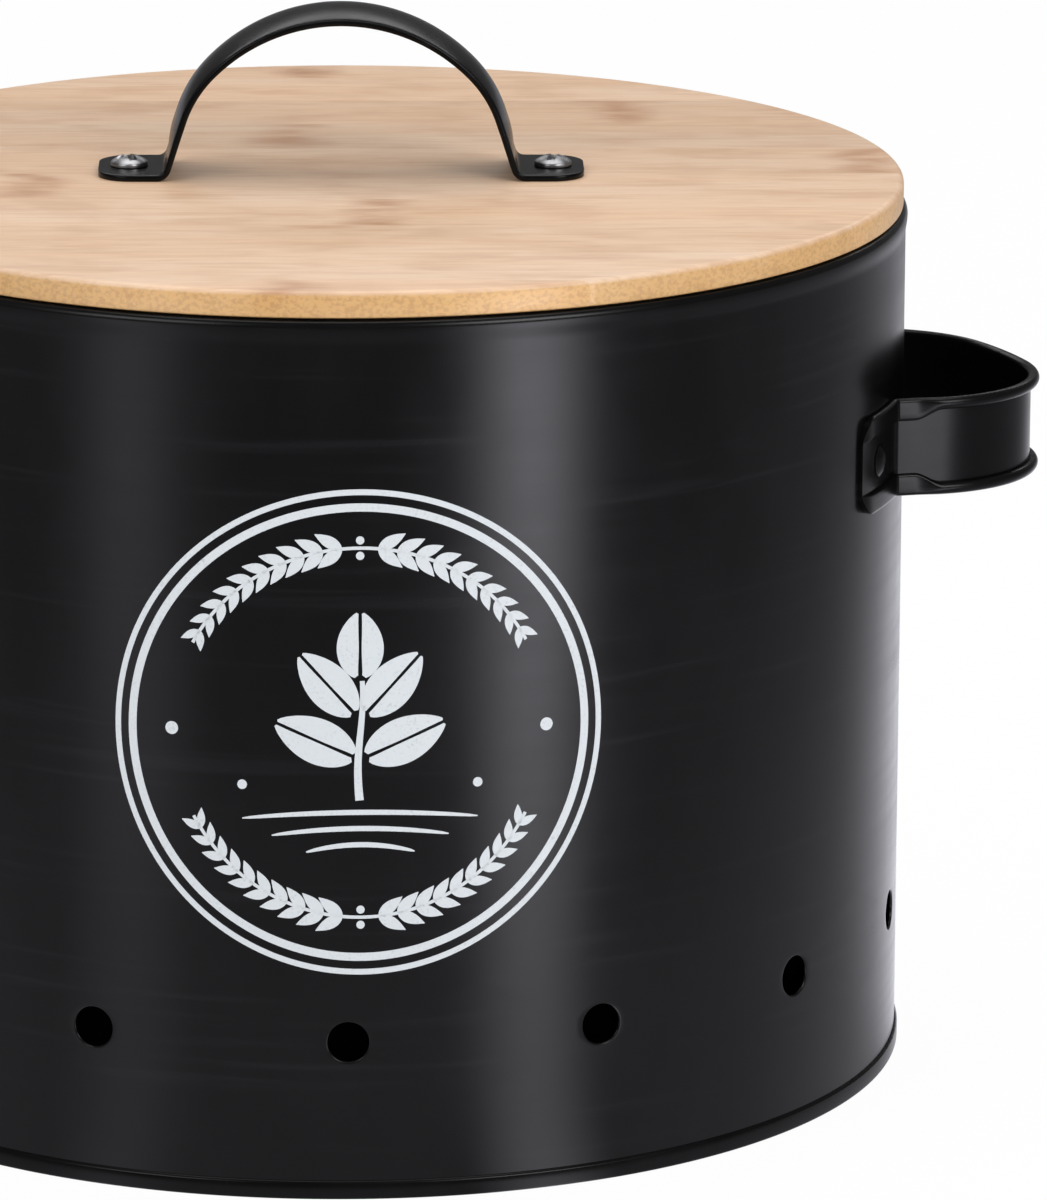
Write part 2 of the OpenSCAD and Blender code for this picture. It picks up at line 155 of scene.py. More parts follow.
def make_piece(name, points, faces, material, body, replaces=(), sharp=40):
    """A closed, smooth-shaded mesh from points in millimetres, riding on a body."""
    bm = bmesh.new()
    verts = [bm.verts.new((x * MM, y * MM, z * MM)) for x, y, z in points]
    for f in faces:
        bm.faces.new([verts[i] for i in f])
    bmesh.ops.remove_doubles(bm, verts=bm.verts, dist=SAME_POINT)
    bmesh.ops.dissolve_degenerate(bm, edges=bm.edges, dist=SAME_POINT / 10)
    bmesh.ops.recalc_face_normals(bm, faces=bm.faces)
    mesh = bpy.data.meshes.new(name)
    bm.to_mesh(mesh)
    bm.free()
    mesh.materials.append(material)
    mesh.polygons.foreach_set("use_smooth", [True] * len(mesh.polygons))
    mesh.set_sharp_from_angle(angle=math.radians(sharp))
    piece = bpy.data.objects.new(name, mesh)
    bpy.context.scene.collection.objects.link(piece)
    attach(piece, body)
    if replaces:
        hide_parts(*replaces)
    return piece


class Build:
    """Points and faces of a piece as it grows."""

    def __init__(self):
        self.points = []
        self.faces = []

    def ring(self, points):
        """Adds points and returns their indices."""
        start = len(self.points)
        self.points.extend(points)
        return list(range(start, start + len(points)))

    def bridge(self, a, b):
        """Faces between two closed rings of as many points."""
        for k in range(len(a)):
            n = (k + 1) % len(a)
            self.faces.append([a[k], a[n], b[n], b[k]])

    def loft(self, rings):
        """Closed rings of points, each bridged to the next. Returns their indices."""
        made = [self.ring(r) for r in rings]
        for a, b in zip(made, made[1:]):
            self.bridge(a, b)
        return made

    def capped_loft(self, rings):
        """A loft with both of its ends closed."""
        made = self.loft(rings)
        self.faces.append(list(reversed(made[0])))
        self.faces.append(made[-1])


def lathe(profile, steps, build, turn=0.0, place=None):
    """Turns a profile of (radius, height) points about Z. A radius of 0 gives one point."""
    place = place or (lambda x, y, z: (x, y, z))
    rings = []
    for r, z in profile:
        count = steps if r > 0 else 1
        ring = [polar(r, turn + 360 * k / steps) for k in range(count)]
        rings.append(build.ring([place(x, y, z) for x, y in ring]))
    for a, b in zip(rings, rings[1:]):
        for k in range(steps):
            n = (k + 1) % steps
            if len(a) == 1:
                build.faces.append([a[0], b[n], b[k]])
            elif len(b) == 1:
                build.faces.append([a[k], a[n], b[0]])
            else:
                build.faces.append([a[k], a[n], b[n], b[k]])


# Materials


class Nodes:
    """A material's node tree, with short calls for the nodes that it needs."""

    def __init__(self, name):
        self.material = bpy.data.materials.new(name)
        self.material.use_nodes = True
        self.tree = self.material.node_tree
        self.tree.nodes.clear()
        self.out = self.add("ShaderNodeOutputMaterial")
        self.bsdf = self.add("ShaderNodeBsdfPrincipled")
        self.link(self.bsdf.outputs[0], self.out.inputs["Surface"])
        self.coords = self.add("ShaderNodeTexCoord").outputs["Object"]

    def add(self, kind, **settings):
        node = self.tree.nodes.new(kind)
        for key, value in settings.items():
            setattr(node, key, value)
        return node

    def link(self, a, b):
        self.tree.links.new(a, b)

    def feed(self, socket, value):
        if isinstance(value, bpy.types.NodeSocket):
            self.link(value, socket)
        elif isinstance(value, tuple):
            socket.default_value = (*value, 1)
        else:
            socket.default_value = value

    def place(self, scale, shift=(0, 0, 0)):
        node = self.add("ShaderNodeMapping")
        self.link(self.coords, node.inputs["Vector"])
        node.inputs["Location"].default_value = shift
        node.inputs["Scale"].default_value = scale
        return node.outputs[0]

    def noise(self, vector, detail=3.0, rough=0.5, distortion=0.0):
        node = self.add("ShaderNodeTexNoise")
        self.link(vector, node.inputs["Vector"])
        node.inputs["Scale"].default_value = 1.0
        node.inputs["Detail"].default_value = detail
        node.inputs["Roughness"].default_value = rough
        node.inputs["Distortion"].default_value = distortion
        return node.outputs["Fac"]

    def ramp(self, value, low, high, to_low=0.0, to_high=1.0):
        node = self.add("ShaderNodeMapRange", interpolation_type="SMOOTHSTEP")
        self.feed(node.inputs["Value"], value)
        node.inputs["From Min"].default_value = low
        node.inputs["From Max"].default_value = high
        node.inputs["To Min"].default_value = to_low
        node.inputs["To Max"].default_value = to_high
        return node.outputs["Result"]

    def math(self, operation, a, b=0.0):
        node = self.add("ShaderNodeMath", operation=operation)
        self.feed(node.inputs[0], a)
        self.feed(node.inputs[1], b)
        return node.outputs[0]

    def mix(self, amount, a, b):
        node = self.add("ShaderNodeMix", data_type="RGBA")
        self.feed(node.inputs["Factor"], amount)
        self.feed(node.inputs["A"], a)
        self.feed(node.inputs["B"], b)
        return node.outputs["Result"]

    def bump(self, height, strength, distance, normal=None):
        node = self.add("ShaderNodeBump")
        node.inputs["Strength"].default_value = strength
        node.inputs["Distance"].default_value = distance
        self.link(height, node.inputs["Height"])
        if normal is not None:
            self.link(normal, node.inputs["Normal"])
        return node.outputs["Normal"]

    def finish(self, color, rough, normal, **constants):
        self.feed(self.bsdf.inputs["Base Color"], color)
        self.feed(self.bsdf.inputs["Roughness"], rough)
        self.link(normal, self.bsdf.inputs["Normal"])
        for key, value in constants.items():
            self.bsdf.inputs[key.replace("_", " ")].default_value = value
        return self.material


def shade(color, amount):
    """A colour made lighter or darker."""
    return tuple(c * amount for c in color)


COAT_DEEP = (0.0018, 0.0018, 0.0020)
COAT_PATCH = (0.0034, 0.0034, 0.0038)
COAT_SPECK = (0.014, 0.014, 0.015)
COAT_WIPED = (0.0105, 0.0105, 0.0120)


def coat_material(name, rough, waviness, gloss):
    """Satin black powder coat: faint orange peel, soft unevenness, wiped streaks, dusty specks."""
    n = Nodes(name)
    peel = n.noise(n.place((900, 900, 900)), detail=2.0)
    wave = n.noise(n.place((14, 14, 9), (3, 1, 7)), detail=1.5)
    patches = n.noise(n.place((55, 55, 30), (9, 2, 5)), detail=4.0)
    specks = n.noise(n.place((1500, 1500, 1500), (1, 4, 2)), detail=1.0)
    color = n.mix(n.ramp(patches, 0.3, 0.75), COAT_DEEP, COAT_PATCH)
    color = n.mix(n.ramp(specks, 0.72, 0.8, 0.0, 0.3), color, COAT_SPECK)
    wiped = n.noise(n.place((12, 12, 330), (5, 3, 1)), detail=3.0, distortion=0.2)
    color = n.mix(n.ramp(wiped, 0.54, 0.76, 0.0, 0.45), color, COAT_WIPED)
    roughness = n.ramp(patches, 0.25, 0.8, rough - 0.02, rough + 0.03)
    roughness = n.math("ADD", roughness, n.ramp(wiped, 0.3, 0.8, -0.012, 0.02))
    normal = n.bump(wave, waviness, 0.0012)
    normal = n.bump(peel, 0.035, 0.00005, normal)
    return n.finish(color, roughness, normal, Specular_IOR_Level=gloss)


TOP_LIGHT = (0.820, 0.600, 0.430)
TOP_WARM = (0.785, 0.515, 0.325)
TOP_DARK = (0.560, 0.315, 0.175)
KNOT_BROWN = (0.430, 0.215, 0.110)
EDGE_GOLD = (0.745, 0.425, 0.135)
EDGE_FLECK = (0.500, 0.250, 0.070)
KNOT_REACH = 10.5
# The noise that makes a knot's line wander has a mean of a half
KNOT_WANDER = 18.0
# Heights under the lid's top between which the gold of the edge fades out
EDGE_FULL = 1.2
EDGE_NONE = 0.3


def bamboo_material(name, tone_and_light, seed, knots):
    """Pressed bamboo with its fibres along X. Its lightness is partly the stave's own tone and partly painted
    light and shade, knots are places along X.
    """
    n = Nodes(name)
    shift = (seed * 1.7, seed * 3.1, seed * 0.9)
    # Painted light and shade: every colour of the stave, its edge too, is scaled by the stave's lightness
    light, warm, dark = (shade(c, tone_and_light) for c in (TOP_LIGHT, TOP_WARM, TOP_DARK))
    split = n.add("ShaderNodeSeparateXYZ")
    n.link(n.coords, split.inputs[0])
    broad = n.noise(n.place((7, 70, 70), shift), detail=2.0, distortion=0.3)
    streaks = n.noise(n.place((36, 340, 340), shift), detail=1.8, rough=0.5, distortion=0.6)
    fibres = n.noise(n.place((110, 1500, 1500), shift), detail=2.0, rough=0.6)
    bundles = n.noise(n.place((120, 1500, 1500), (shift[1], shift[0], 4)), detail=1.0)
    clouds = n.noise(n.place((38, 80, 80), (shift[2], shift[1], 7)), detail=3.0, rough=0.6)
    color = n.mix(n.ramp(broad, 0.3, 0.7, 0.0, 0.75), light, warm)
    color = n.mix(n.ramp(clouds, 0.44, 0.72, 0.0, 0.44), color, dark)
    color = n.mix(n.ramp(streaks, 0.42, 0.74, 0.0, 0.38), color, dark)
    color = n.mix(n.ramp(fibres, 0.4, 0.72, 0.0, 0.21), color, dark)
    color = n.mix(n.ramp(bundles, 0.66, 0.78, 0.0, 0.16), color, shade(dark, 0.6))
    if knots:
        wander = n.noise(n.place((22, 70, 70), shift), detail=1.5)
        along = n.math("ADD", split.outputs["X"], n.math("MULTIPLY", wander, KNOT_WANDER * MM))
        patchy = n.ramp(n.noise(n.place((70, 150, 150), shift), detail=2.0), 0.3, 0.65, 0.2, 1.0)
        for x in knots:
            near = n.math("ABSOLUTE", n.math("SUBTRACT", along, (x + KNOT_WANDER / 2) * MM))
            blot = n.math("MULTIPLY", n.ramp(near, 0.0, KNOT_REACH * MM, 0.80, 0.0), patchy)
            color = n.mix(blot, color, KNOT_BROWN)
    flecks = n.noise(n.place((1000, 1000, 1250), shift), detail=1.5, rough=0.6)
    gold = n.mix(n.ramp(flecks, 0.42, 0.64, 0.0, 0.62), shade(EDGE_GOLD, tone_and_light), shade(EDGE_FLECK, tone_and_light))
    full, none = (LID_TOP_Z - EDGE_FULL) * MM, (LID_TOP_Z - EDGE_NONE) * MM
    on_edge = n.ramp(split.outputs["Z"], full, none, 0.72, 0.0)
    color = n.mix(on_edge, color, gold)
    roughness = n.ramp(streaks, 0.3, 0.8, 0.30, 0.38)
    normal = n.bump(streaks, 0.035, 0.00008)
    normal = n.bump(fibres, 0.03, 0.00004, normal)
    return n.finish(color, roughness, normal, Specular_IOR_Level=0.5)


STEEL_DULL = (0.26, 0.26, 0.27)
STEEL_BRIGHT = (0.42, 0.42, 0.43)


def steel_material(name):
    """Zinc-plated steel with fine turning marks and a little dulling."""
    n = Nodes(name)
    fine = n.noise(n.place((2600, 2600, 2600)))
    cloud = n.noise(n.place((420, 420, 420), (2, 5, 1)))
    color = n.mix(n.ramp(cloud, 0.3, 0.7), STEEL_DULL, STEEL_BRIGHT)
    roughness = n.ramp(cloud, 0.3, 0.75, 0.30, 0.42)
    return n.finish(color, roughness, n.bump(fine, 0.12, 0.00004), Metallic=1.0)


INK_WHITE = (0.655, 0.69, 0.725)
INK_THIN = (0.43, 0.46, 0.49)


def ink_material(name):
    """Screen-printed white, slightly thin in places."""
    n = Nodes(name)
    grain = n.noise(n.place((1700, 1700, 1700), (6, 1, 8)))
    thin = n.noise(n.place((160, 160, 160), (2, 8, 3)), detail=2.0)
    wear = n.math("MULTIPLY", n.ramp(grain, 0.52, 0.72), n.ramp(thin, 0.35, 0.7, 0.1, 0.6))
    color = n.mix(wear, INK_WHITE, INK_THIN)
    roughness = n.ramp(grain, 0.3, 0.7, 0.42, 0.55)
    return n.finish(color, roughness, n.bump(grain, 0.08, 0.00003), Specular_IOR_Level=0.3)


wall_coat = coat_material("satin_black_wall", rough=0.24, waviness=0.04, gloss=0.22)
# Painted shade: a less glossy coat for the inside, so that the bin looks darker within than the same coat
# outside
inner_coat_painted_shade = coat_material("dull_black_inside_painted_shade", rough=0.42, waviness=0.04, gloss=0.09)
trim_coat = coat_material("satin_black_trim", rough=0.25, waviness=0.04, gloss=0.17)
strap_coat = coat_material("satin_black_strap", rough=0.24, waviness=0.03, gloss=0.13)
screw_steel = steel_material("zinc_plated_steel")
print_ink = ink_material("white_print")

# Bin body

# Each vent has its own patch of wall, and plain rings lie below and above the patches
PATCH_W = 18
PATCH_H = 8
PATCH_RINGS = 6
PATCH_CROWDING = 1.6
PATCH_MARGIN = 11.5
PATCH_LOW = VENT_Z - PATCH_MARGIN
PATCH_HIGH = VENT_Z + PATCH_MARGIN
WALL_STEPS = VENTS * PATCH_W
LOW_RINGS = 5
HIGH_RINGS = 24
LIP_ROUND = 0.42
LIP_STEPS = 4
INNER_CHAMFER = 0.08
RIM_SWELL_H = 5.5
RIM_CURL_TO = 228
RIM_CURL_BACK_TO = 20
INSIDE_MARGIN = 0.1


def line_inside(piece):
    """Gives the faces inside the bin their own duller coat, less glossy so that the inside looks darker:
    painted shade.
    """
    piece.data.materials.append(inner_coat_painted_shade)
    for face in piece.data.polygons:
        if math.hypot(face.center.x, face.center.y) < (WALL_IN_R + INSIDE_MARGIN) * MM:
            face.material_index = 1


def patch_border(half_turn):
    """The border of one vent's patch, as (turn from the vent, height) pairs."""
    border = [(t, PATCH_LOW) for t in span(-half_turn, half_turn, PATCH_W)]
    border += [(half_turn, z) for z in span(PATCH_LOW, PATCH_HIGH, PATCH_H)[1:]]
    border += [(t, PATCH_HIGH) for t in span(half_turn, -half_turn, PATCH_W)[1:]]
    border += [(-half_turn, z) for z in span(PATCH_HIGH, PATCH_LOW, PATCH_H)[1:-1]]
    return border


def vent_patch(build, azimuth):
    """One stretch of wall with a vent: outer face, rounded lip, hole and inner face."""
    border = patch_border(180 / VENTS)
    flat = [(math.radians(t) * WALL_R, z - VENT_Z) for t, z in border]

    def at(u, v, depth):
        x, y = polar(WALL_R - depth, azimuth + math.degrees(u / WALL_R))
        return x, y, VENT_Z + v

    def blend_ring(share, depth):
        made = []
        for u, v in flat:
            scale = share + (1 - share) * (VENT_R + LIP_ROUND) / math.hypot(u, v)
            made.append(at(u * scale, v * scale, depth))
        return made

    def hole_ring(radius, depth):
        return [at(u * radius / math.hypot(u, v), v * radius / math.hypot(u, v), depth) for u, v in flat]

    spread = [(1 - k / PATCH_RINGS) ** PATCH_CROWDING for k in range(PATCH_RINGS + 1)]
    rings = [blend_ring(s, 0.0) for s in spread]
    for a in span(0, 90, LIP_STEPS)[1:]:
        across, down = polar(LIP_ROUND, a)
        rings.append(hole_ring(VENT_R + LIP_ROUND - down, LIP_ROUND - across))
    rings.append(hole_ring(VENT_R, SHEET_T - INNER_CHAMFER))
    rings.append(hole_ring(VENT_R + INNER_CHAMFER, SHEET_T))
    rings += [blend_ring(s, SHEET_T) for s in reversed(spread)]
    build.loft(rings)


def body_shell():
    """Wall with its vents, and the rim that swells a little and rolls inward."""
    build = Build()
    for k in range(VENTS):
        vent_patch(build, VENT_FRONT + k * 360 / VENTS)
    wall_foot = SHEET_T + SEAM_GAP
    lower = [(WALL_R, z) for z in span(PATCH_LOW, SEAM_H, LOW_RINGS)] + [(WALL_R, wall_foot)]
    lower += [(WALL_IN_R, wall_foot)] + [(WALL_IN_R, z) for z in span(SEAM_H, PATCH_LOW, LOW_RINGS)]
    lathe(lower, WALL_STEPS, build, VENT_FRONT)
    swell_low, swell_high = BODY_H - RIM_SWELL_H, RIM_Z
    proud = RIM_R + RIM_BEAD_R - WALL_R
    upper = [(WALL_R, z) for z in span(PATCH_HIGH, swell_low, HIGH_RINGS)]
    for t in span(0, 1, 6)[1:]:
        upper.append((WALL_R + proud * smooth(t), swell_low + (swell_high - swell_low) * t))
    upper += arc((RIM_R, RIM_Z), RIM_BEAD_R, 0, RIM_CURL_TO, 26)[1:]
    upper += arc((RIM_R, RIM_Z), RIM_BEAD_R - SHEET_T, RIM_CURL_TO, RIM_CURL_BACK_TO, 18)
    upper += [(WALL_IN_R, z) for z in span(swell_low, PATCH_HIGH, HIGH_RINGS)]
    lathe(upper, WALL_STEPS, build, VENT_FRONT)
    replaced = ["body_shell"]
    line_inside(make_piece("bin_wall", build.points, build.faces, wall_coat, "bin", replaced))


SEAM_ROUND = 1.35
SEAM_FROM = 28
SEAM_TO = 62
SEAM_TOP_GAP = 0.06
BASE_BEND_R = 0.8
BASE_MIDDLE_R = 40


def base_plate():
    """Base disc with its skirt, folded round the foot of the wall as the bottom seam."""
    in_r, out_r = WALL_IN_R - SEAM_GAP, WALL_R + SEAM_GAP
    t = SHEET_T
    fold_at = (in_r - t - BASE_BEND_R, BASE_LIFT - BASE_BEND_R)
    profile = [(0, BASE_LIFT), (BASE_MIDDLE_R, BASE_LIFT)] + arc(fold_at, BASE_BEND_R, 90, 0, 4)
    profile += arc((in_r, t), t, 180, 270, 6)
    profile += arc((out_r, t), t, 270, 360, 6)
    seam_out, seam_in = polar(SEAM_ROUND, SEAM_FROM), polar(SEAM_ROUND, SEAM_TO)
    seam_at = (out_r + t - seam_out[0], SEAM_H - SEAM_TOP_GAP - seam_in[1])
    profile += arc(seam_at, SEAM_ROUND, SEAM_FROM, SEAM_TO, 8)
    profile += [(out_r, t), (in_r, t)]
    profile += arc(fold_at, BASE_BEND_R + t, 0, 90, 5)
    profile += [(BASE_MIDDLE_R, BASE_LIFT + t), (0, BASE_LIFT + t)]
    build = Build()
    lathe(profile, WALL_STEPS, build)
    replaced = ["base_plate"]
    line_inside(make_piece("bin_base", build.points, build.faces, trim_coat, "bin", replaced))


body_shell()
base_plate()

# Side handles

CORNER_TURN = 90 - LEG_LEAN
LEG_OUT = Vector(polar(1, CORNER_TURN))
LEG_DIR = Vector((-LEG_OUT.y, LEG_OUT.x))
FRONT_AT = Vector((WALL_R + LOOP_REACH - LOOP_R, -LOOP_SKEW))
FLAT_AT = FRONT_AT - Vector(polar(FLAT_R - LOOP_R, FLAT_FROM))
FRONT_CORNER = Vector((FRONT_AT.x, LOOP_SKEW))
REAR_CORNER = FLAT_AT + Vector(polar(FLAT_R - LOOP_R, FLAT_TO))
FOOT_R = FOOT_IN_R + STRIP_T
RIVET_Z = STRIP_Z + STRIP_H / 2
LOOP_STEP = 1.8
LEG_STEPS = 18
BEND_STEPS = 12
WEB_STEPS = 8
EDGE_STEPS = 10
FOLD_STEPS = 16
HEM_ROUND = 0.7
HEM_ROUND_FROM = 75


def bend_at(corner):
    """Centre of the bend between a leg and its foot."""
    out = (corner + LOOP_R * LEG_OUT).dot(LEG_OUT) + STRIP_T + BEND_R
    along = -math.sqrt((FOOT_R + BEND_R) ** 2 - out**2)
    return out * LEG_OUT + along * LEG_DIR


def foot_azimuth(corner):
    """Azimuth at which the foot starts to lie on the wall."""
    centre = bend_at(corner)
    return math.degrees(math.atan2(centre.y, centre.x))


def rivet_azimuth(corner):
    """Azimuth of the foot's middle."""
    return foot_azimuth(corner) + math.degrees(FOOT_L / FOOT_R) / 2


def strip_edge(press):
    """Lower edge of the strip's section as (outward, up) points: a rolled bead at 0, a flat hem at 1."""
    join = math.degrees(math.acos((STRIP_T - BEAD_R) / BEAD_R))
    angles = [join * (1 - k / EDGE_STEPS) for k in range(EDGE_STEPS)] + span(0, -180, FOLD_STEPS)
    bead = [polar(BEAD_R, a, (BEAD_R, BEAD_R)) for a in angles]
    hem = [(STRIP_T, HEM_H), (2 * STRIP_T - HEM_ROUND, HEM_H)]
    hem += arc((2 * STRIP_T - HEM_ROUND, HEM_H - HEM_ROUND), HEM_ROUND, HEM_ROUND_FROM, 0, 5)
    hem += [(2 * STRIP_T, z) for z in span(HEM_H - HEM_ROUND, STRIP_T, EDGE_STEPS - len(hem) + 1)[1:-1]]
    hem += arc((STRIP_T, STRIP_T), STRIP_T, 0, -180, FOLD_STEPS)
    return [tuple((1 - press) * b[k] + press * h[k] for k in (0, 1)) for b, h in zip(bead, hem)]


def strip_section(press, trim):
    """Whole section of the strip, trimmed at its lower and upper edges in a foot's rounded corner."""
    low = strip_edge(press)
    web = [(STRIP_T, z) for z in span(low[0][1], STRIP_H - low[0][1], WEB_STEPS)[1:-1]]
    high = [(o, STRIP_H - z) for o, z in reversed(low)]
    back = [(0.0, z) for z in span(high[0][1], low[-1][1], WEB_STEPS)[1:-1]]
    reach = STRIP_T * (2 - smooth(trim / HEM_H)) if trim else 2 * BEAD_R
    section = low + back[::-1] + high + web[::-1]
    return [(min(o, reach), min(max(z, trim), STRIP_H - trim)) for o, z in section]


def loop_stations(centre, radius, start, end):
    """(x, y, azimuth of the outward face, press, trim) along an arc of the loop, without its last point."""
    steps = math.ceil((end - start) / LOOP_STEP)
    return [(*polar(radius, a, centre), a, 0.0, 0.0) for a in span(start, end, steps)[:-1]]


def end_stations(corner, start):
    """Stations from the start of a corner to the end of its foot, laid out as a rear end."""
    stations = loop_stations(corner, LOOP_R, start, CORNER_TURN)
    leg_start = corner + LOOP_R * LEG_OUT
    centre, azimuth = bend_at(corner), foot_azimuth(corner)
    fade = FADE_SHARE * (centre - leg_start).dot(LEG_DIR)
    for t in span(0, 1, LEG_STEPS):
        at = leg_start + fade * t * LEG_DIR
        stations.append((at.x, at.y, CORNER_TURN, smooth(t), 0.0))
    for a in span(CORNER_TURN, azimuth, BEND_STEPS):
        x, y = polar(-BEND_R - STRIP_T, a, centre)
        stations.append((x, y, a, 1.0, 0.0))
    places = [(s, 0.0) for s in span(0, FOOT_L - FOOT_CORNER_R, 8)[1:]]
    at_hem = math.degrees(math.acos(1 - HEM_H / FOOT_CORNER_R))
    for turn in span(0, 72, 9)[1:] + [at_hem, 81, 90]:
        across, along = polar(FOOT_CORNER_R, turn)
        places.append((FOOT_L - FOOT_CORNER_R + along, FOOT_CORNER_R - across))
    for s, trim in places:
        a = azimuth + math.degrees(s / FOOT_R)
        stations.append((*polar(FOOT_IN_R, a), a, 1.0, trim))
    return stations


def side_handle(name, node, side):
    """One loop with its two feet. Side is 1 on the right and -1 on the left."""
    front = [(x, -y, -a, p, t) for x, y, a, p, t in reversed(end_stations(FRONT_CORNER, -FLAT_FROM))]
    flat = loop_stations(FLAT_AT, FLAT_R, FLAT_FROM, FLAT_TO)
    rings = []
    for x, y, a, press, trim in front + flat[1:] + end_stations(REAR_CORNER, FLAT_TO):
        ring = []
        for o, z in strip_section(press, trim):
            px, py = polar(o, a, (x, y))
            ring.append((side * px, py, STRIP_Z + z))
        rings.append(ring)
    build = Build()
    build.capped_loft(rings)
    make_piece(name, build.points, build.faces, trim_coat, "bin", [node], sharp=50)


RIVET_FLANGE = 0.25
RIVET_FLANGE_T = 0.12
RIVET_ROUND = 0.1
CLINCH_ROUND = 0.3
DIMPLE_R = 0.8
DIMPLE_DEPTH = 0.15


def rivet(name, node, azimuth):
    """Domed head with a small flange, shank, and the clinched end inside the wall."""
    out = FOOT_R + RIVET_SEAT_GAP
    clinch = WALL_IN_R - RIVET_CLINCH_R**2 / (2 * WALL_IN_R) - RIVET_SEAT_GAP
    low = clinch - RIVET_CLINCH_T
    dome_r = (RIVET_HEAD_R**2 + RIVET_HEAD_H**2) / (2 * RIVET_HEAD_H)
    reach = math.degrees(math.asin((RIVET_HEAD_R - RIVET_FLANGE) / dome_r))
    side = arc((0, out + RIVET_HEAD_H - dome_r), dome_r, 90, 90 - reach, 10)
    side[0] = (0, out + RIVET_HEAD_H)
    side += [(RIVET_HEAD_R - RIVET_ROUND / 2, side[-1][1] - RIVET_ROUND)]
    side += [(RIVET_HEAD_R, out + RIVET_FLANGE_T), (RIVET_HEAD_R - 0.8 * RIVET_ROUND, out)]
    side += [(RIVET_R, out), (RIVET_R, clinch), (RIVET_CLINCH_R - RIVET_ROUND, clinch)]
    side += [(RIVET_CLINCH_R, clinch - RIVET_ROUND), (RIVET_CLINCH_R, low + CLINCH_ROUND)]
    side += [(RIVET_CLINCH_R - CLINCH_ROUND, low), (DIMPLE_R, low)]
    side += [(0.75 * DIMPLE_R, low + DIMPLE_DEPTH), (0, low + DIMPLE_DEPTH)]
    c, s = polar(1, azimuth)
    build = Build()
    lathe(side, 40, build, place=lambda x, y, z: (z * c - x * s, z * s + x * c, RIVET_Z + y))
    make_piece(name, build.points, build.faces, trim_coat, "bin", [node])


side_handle("loop_handle_right", "side_handle_right", 1)
side_handle("loop_handle_left", "side_handle_left", -1)
front_rivet_az = rivet_azimuth(FRONT_CORNER)
rear_rivet_az = rivet_azimuth(REAR_CORNER)
rivet("rivet_right_front", "side_rivet_right_front", -front_rivet_az)
rivet("rivet_right_rear", "side_rivet_right_rear", rear_rivet_az)
rivet("rivet_left_front", "side_rivet_left_front", 180 + front_rivet_az)
rivet("rivet_left_rear", "side_rivet_left_rear", 180 - rear_rivet_az)

# Lid

# Lightness of each stave from the front, partly the bamboo's own tone and partly painted light and shade
STAVE_TONES_AND_LIGHT = [0.92, 0.90, 0.90, 0.94, 0.92, 0.87, 0.83, 0.86, 0.97, 0.97]
# Knots as millimetres along X, for each stave from the front
STAVE_KNOTS = [[-11], [], [], [7.5], [-65], [112], [-11], [60], [], [-7]]
STAVE_STEPS = 28
# Height of a ring in the lid's edge between its two rounded corners
EDGE_RING_H = 2.5


def lid_levels():
    """(radius, height) from the underside round the lid's edge to its top."""
    low = [(LID_STEP_R - LID_STEP_CHAMFER, LID_LOW_Z)]
    low += [(LID_STEP_R, LID_LOW_Z + LID_STEP_CHAMFER), (LID_STEP_R, LID_Z)]
    low += [(LID_R - LID_CHAMFER, LID_Z)]
    low += arc((LID_R - LID_CHAMFER, LID_Z + LID_CHAMFER), LID_CHAMFER, -67.5, 0, 3)
    top = arc((LID_R - LID_ROUND_TOP, LID_TOP_Z - LID_ROUND_TOP), LID_ROUND_TOP, 0, 90, 7)
    return low + [(LID_R, LID_Z + EDGE_RING_H)] + top


def stave(number):
    """One stave of the lid, counted from the front, between its two glue lines."""
    near = (number - 1 - STAVES_FRONT) * STAVE_W - GLUE_LINE_Y
    far = near + STAVE_W
    build = Build()
    rings = []
    for r, z in lid_levels():
        start, end = (math.asin(min(max(y / r, -1), 1)) for y in (near, far))
        right = [(r * math.cos(a), r * math.sin(a), z) for a in span(start, end, STAVE_STEPS)]
        rings.append(right + [(-x, y, z) for x, y, z in reversed(right)])
    made = build.loft(rings)
    count = 2 * (STAVE_STEPS + 1)
    for ring in (made[0], made[-1]):
        for k in range(STAVE_STEPS):
            build.faces.append([ring[k], ring[k + 1], ring[count - 2 - k], ring[count - 1 - k]])
    material = bamboo_material(f"bamboo_{number}", STAVE_TONES_AND_LIGHT[number - 1], number, STAVE_KNOTS[number - 1])
    name, node = f"bamboo_stave_{number}", f"lid_stave_{number}"
    make_piece(name, build.points, build.faces, material, "lid", [node])


for number in range(1, STAVES + 1):
    stave(number)

# Lid handle

ARCH_TOP_AT = Vector((0.0, LID_TOP_Z + ARCH_H - ARCH_TOP_R))
SHOULDER_AT = ARCH_TOP_AT + Vector(polar(ARCH_TOP_R - ARCH_SHOULDER_R, 90 - ARCH_TOP_TURN))
ARCH_OUT = Vector(polar(1, ARCH_LEAN))
ARCH_DIR = Vector((ARCH_OUT.y, -ARCH_OUT.x))
ARCH_LEG = SHOULDER_AT + (ARCH_SHOULDER_R - STRAP_DEPTH) * ARCH_OUT
BEND_OUT = (STRAP_T + ARCH_BEND_R) * ARCH_OUT
ARCH_LEG_L = (ARCH_LEG.y + BEND_OUT.y - LID_TOP_Z - STRAP_T - ARCH_BEND_R) / ARCH_OUT.x
ARCH_BEND = ARCH_LEG + BEND_OUT + ARCH_LEG_L * ARCH_DIR
STRAP_EDGE_R = 0.35
CROWN_STEPS = 20


